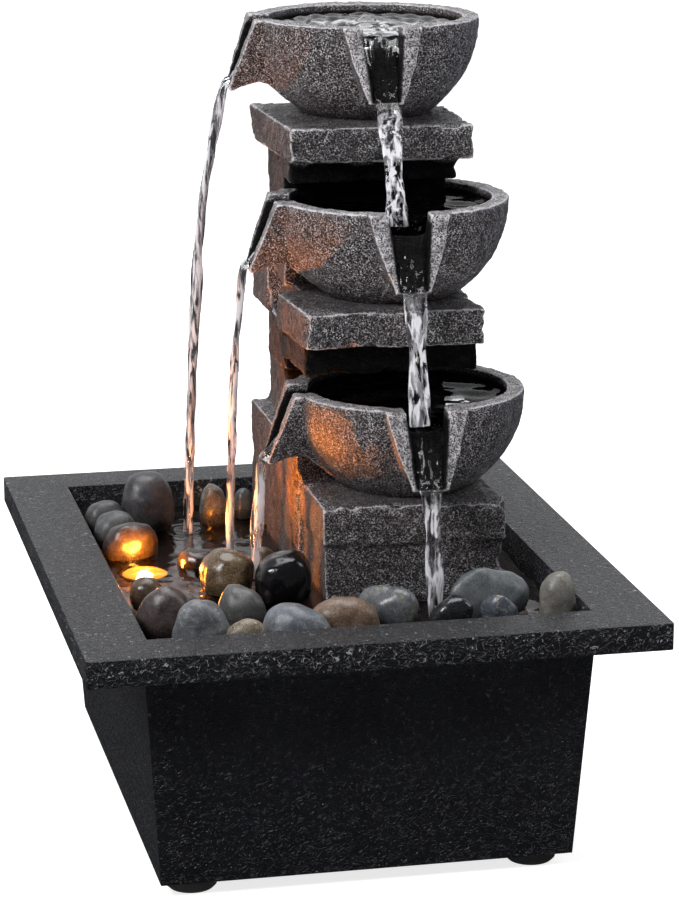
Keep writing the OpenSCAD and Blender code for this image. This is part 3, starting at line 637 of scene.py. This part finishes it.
def disc_water(b, rise):
    """Closed body of the water standing in a bowl: a rippled top, a flat bottom, and sides just inside
    the stone."""
    ri, inner = b["r"] - 6.3, BOWL_H - 6.0
    level = BOWL_H - FILL
    edge = bowl_radius(ri, level - 6.0, inner) + 0.5
    deep = bowl_radius(ri, level - 12.0, inner) + 0.4
    rings, turns = 40, 120
    angle = np.arange(turns) * 2 * math.pi / turns
    co = [[0, 0, level + rise(0.0, 0.0)]]
    for i in range(1, rings + 1):
        q = edge * i / rings
        for a in angle:
            x, y = q * math.cos(a), q * math.sin(a)
            co.append([x, y, level + rise(x, y)])
    for a in angle:
        co.append([deep * math.cos(a), deep * math.sin(a), level - 6.0])
    co.append([0, 0, level - 6.0])
    faces = [(0, 1 + k, 1 + (k + 1) % turns) for k in range(turns)]
    for i in range(rings):
        a, c = 1 + i * turns, 1 + (i + 1) * turns
        faces += [(a + k, c + k, c + (k + 1) % turns, a + (k + 1) % turns) for k in range(turns)]
    last, a = len(co) - 1, 1 + rings * turns
    faces += [(a + (k + 1) % turns, a + k, last) for k in range(turns)]
    return np.array(co) + [b["x"], b["y"], b["z"]], faces


def spline(points, spacing=0.8):
    """Points about spacing apart on a smooth curve through the given ones."""
    p = np.array(points, float)
    p = np.vstack([2 * p[0] - p[1], p, 2 * p[-1] - p[-2]])
    out = []
    for i in range(1, len(p) - 2):
        n = max(2, int(np.linalg.norm(p[i + 1] - p[i]) / spacing))
        for t in np.arange(n) / n:
            out.append(0.5 * (2 * p[i] + (p[i + 1] - p[i - 1]) * t
                              + (2 * p[i - 1] - 5 * p[i] + 4 * p[i + 1] - p[i + 2]) * t * t
                              + (3 * p[i] - p[i - 1] - 3 * p[i + 1] + p[i + 2]) * t ** 3))
    out.append(p[-2])
    return np.array(out)


def ribbon(path, side, width, film, bead, twist):
    """Closed strip of water swept along path: a ribbed film with a round bead on each edge."""
    around = 28
    t = np.gradient(path, axis=0)
    t /= np.linalg.norm(t, axis=1)[:, None]
    s = np.tile(side, (len(path), 1))
    s -= t * np.einsum("ij,ij->i", s, t)[:, None]
    s /= np.linalg.norm(s, axis=1)[:, None]
    n = np.cross(t, s)
    cos, sin = np.cos(twist)[:, None], np.sin(twist)[:, None]
    s, n = s * cos + n * sin, n * cos - s * sin
    a = np.arange(around) * 2 * math.pi / around
    across, through = np.cos(a), np.sin(a)
    body = np.abs(across) ** 3
    co = []
    for i in range(len(path)):
        half = width[i] / 2 * across
        rib = 0.6 + 0.8 * (0.5 + 0.5 * np.sin(6.5 * across + 2.2 * math.sin(0.045 * i) + 0.02 * i))
        thick = (film[i] * rib + (bead[i] - film[i]) * body) / 2 * np.sign(through) * np.abs(through) ** 0.6
        co.append(path[i] + s[i] * half[:, None] + n[i] * thick[:, None])
    rows = len(path)
    co = np.vstack(co + [path[:1], path[-1:]])
    faces = []
    for i in range(rows - 1):
        a0, b0 = i * around, (i + 1) * around
        faces += [(a0 + k, a0 + (k + 1) % around, b0 + (k + 1) % around, b0 + k) for k in range(around)]
    first, last = rows * around, rows * around + 1
    faces += [(first, (k + 1) % around, k) for k in range(around)]
    end = (rows - 1) * around
    faces += [(last, end + k, end + (k + 1) % around) for k in range(around)]
    return co, faces


def pour(b, turn, drop, seed, widths, thick):
    """The water in one channel and the strip that falls from it. drop lists points of the fall: how far past
    the lip, and at what height. widths and thick are its sizes at the distances BELOW_LIP along the fall."""
    r, z = b["r"], b["z"]
    low = BOWL_H - DROP
    out = np.array([math.cos(turn), math.sin(turn), 0])
    side = np.array([-math.sin(turn), math.cos(turn), 0])
    tip = REACH * r
    chute = [(0.56 * r, z + BOWL_H - 5.6), (0.72 * r, z + BOWL_H - 5.2), (0.83 * r, z + BOWL_H - 6.0),
             (0.93 * r, z + BOWL_H - 9.8), (1.05 * r, z + low + 9.6), (1.14 * r, z + low + 5.0),
             (tip - 1.8, z + low + 2.2), (tip + 1.2, z + low - 0.6)]
    run_out = chute + [(tip + u, h) for u, h in drop]
    path = spline([(b["x"], b["y"], 0) + out * u + np.array([0, 0, h]) for u, h in run_out])
    run = np.linalg.norm(np.gradient(path, axis=0), axis=1).cumsum()
    fall = run - run[np.argmin(np.abs(path[:, 2] - (z + low - 0.6)))]
    pulse = np.sin(fall / 7.2 + seed) * np.clip(fall / 20, 0, 1)
    width = np.where(fall < 0, np.interp(-fall, [0, 6, 26, 34, 60], [8.2, 9.0, 13.6, 14.8, 15.5]),
                     np.interp(fall, BELOW_LIP, widths) * (1 + 0.2 * pulse))
    depth = np.interp(fall, BELOW_LIP, thick)
    film = np.where(fall < 0, np.interp(-fall, [0, 18, 26], [2.4, 2.6, 3.6]),
                    depth * np.interp(fall, [0, 5, 40, 80], [0.6, 0.32, 0.4, 0.6]))
    bead = np.where(fall < 0, np.interp(-fall, [0, 18, 26], [2.8, 2.8, 3.8]), depth * (1 - 0.22 * pulse))
    twist = np.clip(fall / 30, 0, 1) * (0.22 * np.sin(fall / 13 + seed * 1.7) + 0.1 * np.sin(fall / 5 + seed))
    co, faces = ribbon(path, side, width, film, bead, twist)
    return co, faces, path[-1]


# widths and thicknesses of each falling strip
STREAMS = {("upper", "front"): ([8.2, 8.6, 8.2, 7.4, 7.4], [3.0, 3.2, 3.2, 3.2, 3.2]),
           ("upper", "left"): ([8.2, 8.4, 7.4, 7.0, 6.0], [3.4, 5.2, 5.4, 4.6, 3.8]),
           ("middle", "front"): ([8.2, 8.4, 8.0, 6.0, 6.0], [3.0, 3.2, 3.6, 3.6, 3.6]),
           ("middle", "left"): ([8.2, 8.2, 7.0, 5.6, 6.0], [3.4, 5.2, 4.8, 3.9, 4.4]),
           ("lower", "front"): ([8.0, 7.0, 5.4, 4.8, 4.8], [3.0, 3.4, 3.6, 3.6, 3.6]),
           ("lower", "left"): ([8.2, 8.2, 7.4, 7.0, 7.0], [3.4, 5.8, 6.0, 5.6, 5.6])}


def bowl_water(where, rise, drops, seed):
    b = BOWLS[where]
    co, faces = disc_water(b, rise)
    for (name, turn), drop in zip(TURNS.items(), drops):
        c, f, end = pour(b, turn, drop, seed + (name == "left") * 2.0, *STREAMS[where, name])
        faces = faces + [tuple(np.array(q) + len(co)) for q in f]
        co = np.vstack([co, c])
        LAND[where, name] = end
    ob = from_arrays("water_" + where, co * MM, faces)
    edit(ob.data, lambda bm: bmesh.ops.recalc_face_normals(bm, faces=bm.faces))
    remesh(ob, 0.42 * MM)
    mesh = ob.data
    edges = get_edges(mesh)
    near = relax(get_co(mesh), edges, 4)
    p = near / MM
    falling = step(2.0, -8.0, p[:, 2] - (b["z"] + 9.0))
    stretched = p * [1, 1, 0.28]
    lively = step(b["z"] + 29.0, b["z"] + 18.0, p[:, 2])
    wave = (0.26 * falling + 0.34 * lively * (1 - falling)) * noise(stretched, 3.4, int(seed * 10) + 3, 2)
    set_co(mesh, near)
    near += get_normals(mesh) * (wave * MM)[:, None]
    set_co(mesh, near)
    attribute(mesh, "fall", falling)
    attribute(mesh, "lively", lively)
    smooth_shade(mesh)
    return place(ob, "tower", SPRING if where == "upper" else POURING)


def ripples(sources, calm=0.12):
    """Height of the water at x, y: rings round each source (x, y, size, reach) over small waves."""
    def rise(x, y):
        h = math.sin(x * 0.55 + 1.3 * math.sin(y * 0.21)) + math.sin(y * 0.47 + 1.1 * math.sin(x * 0.3) + 2.0)
        h *= calm
        for sx, sy, size, reach in sources:
            d = math.hypot(x - sx, y - sy)
            h += size * math.cos(d * 1.05) * math.exp(-d / reach)
        return h
    return rise


def spring(x, y):
    """The upper bowl: a low bulge over the spout and waves running out from it."""
    d = math.hypot(x, y)
    bulge = 2.6 * math.exp(-(d / 8.0) ** 2)
    rings = 0.95 * math.cos(d * 0.62 + 0.6 * math.sin(3 * math.atan2(y, x))) * math.exp(-d / 40)
    return bulge + rings + 0.24 * math.sin(x * 0.6 + y * 0.35) + 0.24 * math.sin(y * 0.52 - x * 0.4)


def landing(where, x, y):
    """The water of a bowl into which a stream falls at x, y."""
    return ripples([(x - BOWLS[where]["x"], y - BOWLS[where]["y"], 0.8, 7.0)])


MIDDLE_WATER = BOWLS["middle"]["z"] + BOWL_H - FILL
LOWER_WATER = BOWLS["lower"]["z"] + BOWL_H - FILL
UNDER_WATER = BASIN_WATER - 1.5
bowl_water("upper", spring, [
    [(7.0, MIDDLE_WATER + 33), (15.0, MIDDLE_WATER + 18), (22.5, MIDDLE_WATER + 4), (25.0, MIDDLE_WATER - 2)],
    [(5.5, 236), (9.5, 214), (12.5, 180), (14.5, 140), (16.0, 105), (16.5, UNDER_WATER)]], 0.7)
bowl_water("middle", landing("middle", 29.0, -19.0), [
    [(4.2, LOWER_WATER + 36), (8.5, LOWER_WATER + 20), (12.5, LOWER_WATER + 4), (13.4, LOWER_WATER - 2)],
    [(3.0, 178), (5.0, 155), (6.2, 125), (7.0, 100), (7.2, UNDER_WATER)]], 2.1)
bowl_water("lower", landing("lower", 29.0, -46.5), [
    [(4.0, 118), (7.0, 105), (9.0, 93), (9.8, UNDER_WATER)],
    [(2.0, 118), (3.0, 108), (3.4, 96), (3.6, UNDER_WATER)]], 3.9)


# the water in the basin: a shallow body over the deck with a rippled top, round the foot of the tower

FOOT_LO, FOOT_HI = (-3.0, -36.6), (61.8, 90.0)  # corners of the tower's foot at the water line
POOL_FLOOR = 79.8  # a hair over the top of the deck


def grid_lines(lo, hi, foot_lo, foot_hi):
    """Places from lo to hi, one of them just inside each side of the foot."""
    return np.unique(np.round(np.concatenate([np.arange(lo, hi, 1.3), [hi, foot_lo + 1, foot_hi - 1]]), 3))


def under_foot(lines, foot_lo, foot_hi):
    middle = (lines[:-1] + lines[1:]) / 2
    return (middle > foot_lo + 1) & (middle < foot_hi - 1)


def drop_loose(bm):
    bmesh.ops.delete(bm, geom=[v for v in bm.verts if not v.link_faces], context="VERTS")


deck_lo, deck_hi = (np.array(v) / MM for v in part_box("rock_deck"))
xs = grid_lines(deck_lo[0] + 0.3, deck_hi[0] - 0.3, FOOT_LO[0], FOOT_HI[0])
ys = grid_lines(deck_lo[1] + 0.3, deck_hi[1] - 0.3, FOOT_LO[1], FOOT_HI[1])
X, Y = np.meshgrid(xs, ys, indexing="ij")
flat = np.stack([X.ravel(), Y.ravel(), np.zeros(X.size)], 1)
height = 0.22 * noise(flat, 7.0, 5, 2)
for (sx, sy, _), size, reach in [(LAND["upper", "left"], 0.8, 6.0), (LAND["middle", "left"], 0.7, 5.0),
                                 (LAND["lower", "left"], 0.8, 5.0), (LAND["lower", "front"], 0.8, 6.0)]:
    d = np.hypot(flat[:, 0] - sx, flat[:, 1] - sy)
    height += size * np.cos(d * 1.15) * np.exp(-d / reach)
keep = np.ones((len(xs) - 1, len(ys) - 1), bool)
keep[np.ix_(under_foot(xs, FOOT_LO[0], FOOT_HI[0]), under_foot(ys, FOOT_LO[1], FOOT_HI[1]))] = False
walled = np.pad(keep, 1)
grid = np.arange(X.size).reshape(X.shape)
low = X.size
faces = []
for i, j in zip(*np.nonzero(keep)):
    a, b, c, d = grid[i, j], grid[i + 1, j], grid[i + 1, j + 1], grid[i, j + 1]
    faces += [(a, b, c, d), (d + low, c + low, b + low, a + low)]
    for (di, dj), (p, q) in (((-1, 0), (a, d)), ((1, 0), (c, b)), ((0, -1), (b, a)), ((0, 1), (d, c))):
        if not walled[i + 1 + di, j + 1 + dj]:
            faces.append((p, q, q + low, p + low))
top = np.column_stack([flat[:, :2], BASIN_WATER + height])
bottom = np.column_stack([flat[:, :2], np.full(X.size, POOL_FLOOR)])
pool = from_arrays("water_basin", np.vstack([top, bottom]) * MM, faces)
edit(pool.data, drop_loose)
smooth_shade(pool.data, 40)
place(pool, "basin", WATER)


# ------------------------------------------------------------------- basin

SKIRT_FOOT = 85.9 * MM  # a hair under the skirt that hangs from the rim
BASIN = leather_grain("basin_black", (0.0026, 0.0030, 0.0048), 0.40, 1.0, SKIRT_FOOT)


def join_flat(bm):
    bmesh.ops.dissolve_limit(bm, angle_limit=math.radians(0.6), verts=bm.verts, edges=bm.edges)


shell = copy_nodes("basin_shell", "basin")
edit(shell.data, join_flat)
bevel = shell.modifiers.new("bevel", "BEVEL")
bevel.width = 0.5 * MM
bevel.segments = 3
bevel.limit_method = "ANGLE"
bevel.angle_limit = math.radians(50)
bevel.use_clamp_overlap = True
apply_all(shell)
smooth_shade(shell.data, 30)
place(shell, "basin", BASIN, ("basin",))


# --------------------------------------------- CAD nodes that stay as made

def paint(material, *nodes):
    for n in nodes:
        ob = NODES[n]
        if not ob.data.materials:
            ob.data.materials.append(material)
        for s in range(len(ob.material_slots)):
            ob.material_slots[s].link = "OBJECT"
            ob.material_slots[s].material = material


paint(moulded("foot_rubber", (0.012, 0.012, 0.013), 0.75, 0.5, 1.2),
      "foot_front_left", "foot_front_right", "foot_back_left", "foot_back_right")
paint(moulded("gland_rubber", (0.010, 0.010, 0.011), 0.7, 0.4, 0.9), "cord_gland")
paint(moulded("deck_plastic", (0.010, 0.010, 0.011), 0.5, 0.4, 1.0), "rock_deck")
paint(moulded("fitting_plastic", (0.014, 0.014, 0.015), 0.4, 0.3, 0.9),
      "spout_fitting", "fitting_nut", "hose_coupling")
paint(moulded("seal_rubber", (0.011, 0.010, 0.010), 0.8, 0.4, 0.8), "fitting_washer", "led_seal")
paint(moulded("hose_vinyl", (0.42, 0.45, 0.46), 0.22, 0.15, 2.0, Transmission_Weight=0.6, IOR=1.48),
      "riser_hose")
paint(moulded("pump_plastic", (0.013, 0.013, 0.015), 0.38, 0.35, 0.9),
      "pump_body", "pump_chamber", "pump_cover")
paint(moulded("dial_plastic", (0.045, 0.05, 0.055), 0.35, 0.3, 0.8), "flow_dial")
paint(moulded("shaft_ceramic", (0.62, 0.60, 0.55), 0.18, 0.1, 1.2, fade=0.06), "impeller_shaft")
paint(moulded("impeller_plastic", (0.50, 0.50, 0.47), 0.4, 0.25, 1.0, fade=0.08), "impeller")
paint(moulded("cup_rubber", (0.03, 0.03, 0.033), 0.35, 0.2, 1.5, Transmission_Weight=0.2, IOR=1.45),
      "suction_cup_1", "suction_cup_2", "suction_cup_3", "suction_cup_4")
paint(moulded("lamp_plastic", (0.012, 0.012, 0.012), 0.4, 0.3, 0.8), "led_housing")
paint(moulded("lamp_board", (0.55, 0.56, 0.54), 0.45, 0.2, 0.7, fade=0.05), "led_board")
paint(moulded("lead_rubber", (0.010, 0.010, 0.010), 0.55, 0.3, 1.0), "led_lead")


def glowing(name, colour, strength, base, transmission=0.0):
    """A slightly cloudy, lit plastic."""
    n = Nodes(name)
    cloud = n.noise(1.5, 2, 0.5)
    share = n.ramp(cloud, (0.3, 0.0), (0.7, 1.0))
    n.set(Base_Color=n.mix(share, base, tuple(c * 0.85 for c in base)))
    n.set(Roughness=n.ramp(cloud, (0.3, 0.12), (0.7, 0.3)))
    n.set(Emission_Color=n.mix(share, colour, tuple(c * 0.9 for c in colour)))
    n.shader.inputs["Emission Strength"].default_value = strength
    n.shader.inputs["Transmission Weight"].default_value = transmission
    return n.material


paint(glowing("lamp_lens", (1.0, 0.34, 0.03), 1.3, (1.0, 0.75, 0.4), 0.8), "led_lens")
paint(glowing("lamp_emitter", (1.0, 0.62, 0.18), 60.0, (0.9, 0.8, 0.3)), "led_emitter")

# ------------------------------------------------------------ light, floor

def light(name, kind, power, at, to=None):
    """A light at one point, turned towards another. Returns its settings."""
    data = bpy.data.lights.new(name, kind)
    data.energy = power
    ob = new_object(name, data)
    ob.location = at
    if to:
        ob.rotation_euler = (Vector(to) - Vector(at)).to_track_quat("-Z", "Y").to_euler()
    return data


def softbox(name, at, to, size, power):
    data = light(name, "AREA", power, at, to)
    data.shape = "RECTANGLE"
    data.size = size
    data.size_y = size


softbox("key_light", (-1.0, -0.7, 1.15), (0.02, 0, 0.15), 0.5, 18)
softbox("top_light", (0.1, 0.25, 1.35), (0, 0, 0.1), 0.9, 14)
softbox("side_light", (1.1, -0.3, 0.8), (0.02, 0, 0.15), 0.5, 3)

# the lamp's light: a small glow over the lens, and a beam up the tower's left side
lamp_lo, lamp_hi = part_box("led_lens")
lamp_x, lamp_y = (lamp_lo.x + lamp_hi.x) / 2, (lamp_lo.y + lamp_hi.y) / 2
glow = light("lamp_glow", "POINT", 0.2, (lamp_x, lamp_y, lamp_hi.z + 3.5 * MM))
glow.color = (1.0, 0.30, 0.03)
glow.shadow_soft_size = 3.5 * MM
beam = light("lamp_beam", "SPOT", 0.62, (lamp_x + 3 * MM, lamp_y + 8 * MM, 87.2 * MM), (0.014, 0.0, 0.18))
beam.color = (1.0, 0.24, 0.0)
beam.spot_size = math.radians(78)
beam.spot_blend = 0.7
beam.shadow_soft_size = 2.5 * MM

# the studio is bright behind the object and dark in front of it
world = bpy.data.worlds.new("studio")
scene.world = world
world.use_nodes = True
tree = world.node_tree
tree.nodes.clear()
coord = tree.nodes.new("ShaderNodeTexCoord")
part = tree.nodes.new("ShaderNodeSeparateXYZ")
ramp = tree.nodes.new("ShaderNodeValToRGB")
ramp.color_ramp.elements[0].position = 0.4
ramp.color_ramp.elements[0].color = (0.12, 0.12, 0.13, 1)
ramp.color_ramp.elements[1].position = 0.9
ramp.color_ramp.elements[1].color = (0.85, 0.86, 0.88, 1)
shift = tree.nodes.new("ShaderNodeMath")
shift.operation = "MULTIPLY_ADD"
shift.inputs[1].default_value = 0.5
shift.inputs[2].default_value = 0.5
sky = tree.nodes.new("ShaderNodeBackground")
sky.inputs["Strength"].default_value = 1.0
out = tree.nodes.new("ShaderNodeOutputWorld")
tree.links.new(coord.outputs["Generated"], part.inputs[0])
tree.links.new(part.outputs[1], shift.inputs[0])
tree.links.new(shift.outputs[0], ramp.inputs[0])
tree.links.new(ramp.outputs[0], sky.inputs["Color"])
tree.links.new(sky.outputs[0], out.inputs[0])

FLOOR = 12.0        # half the side of the floor
corners = [(x * FLOOR, y * FLOOR, 0) for x, y in ((-1, -1), (1, -1), (1, 1), (-1, 1))]
floor = from_arrays("floor", corners, [(0, 1, 2, 3)])
n = Nodes("floor_white")
n.set(Base_Color=n.mix(n.noise(900, 2), (0.62, 0.62, 0.62), (0.64, 0.64, 0.64)), Roughness=0.9)
n.shader.inputs["Specular IOR Level"].default_value = 0.0
n.shader.inputs["Emission Color"].default_value = (1, 1, 1, 1)
n.shader.inputs["Emission Strength"].default_value = 0.78
# dark cards round the set, seen only in reflections and, to the sides, through the water
dark = n.tree.nodes.new("ShaderNodeEmission")
dark.inputs["Color"].default_value = (0.045, 0.045, 0.05, 1)
path = n.tree.nodes.new("ShaderNodeLightPath")
way = n.math("ABSOLUTE", n.math("SUBTRACT", n.math("ARCTAN2", n.axis(0), n.axis(1)), 0.2))
aside = n.ramp(way, (0.9, 0.0), (1.7, 1.0))
through = n.math("MULTIPLY", path.outputs["Is Transmission Ray"], aside)
hidden = n.math("MAXIMUM", path.outputs["Is Glossy Ray"], through)
pick = n.tree.nodes.new("ShaderNodeMixShader")
n.join(hidden, pick.inputs[0])
n.join(n.shader.outputs[0], pick.inputs[1])
n.join(dark.outputs[0], pick.inputs[2])
n.join(pick.outputs[0], n.out.inputs["Surface"])
floor.data.materials.append(n.material)
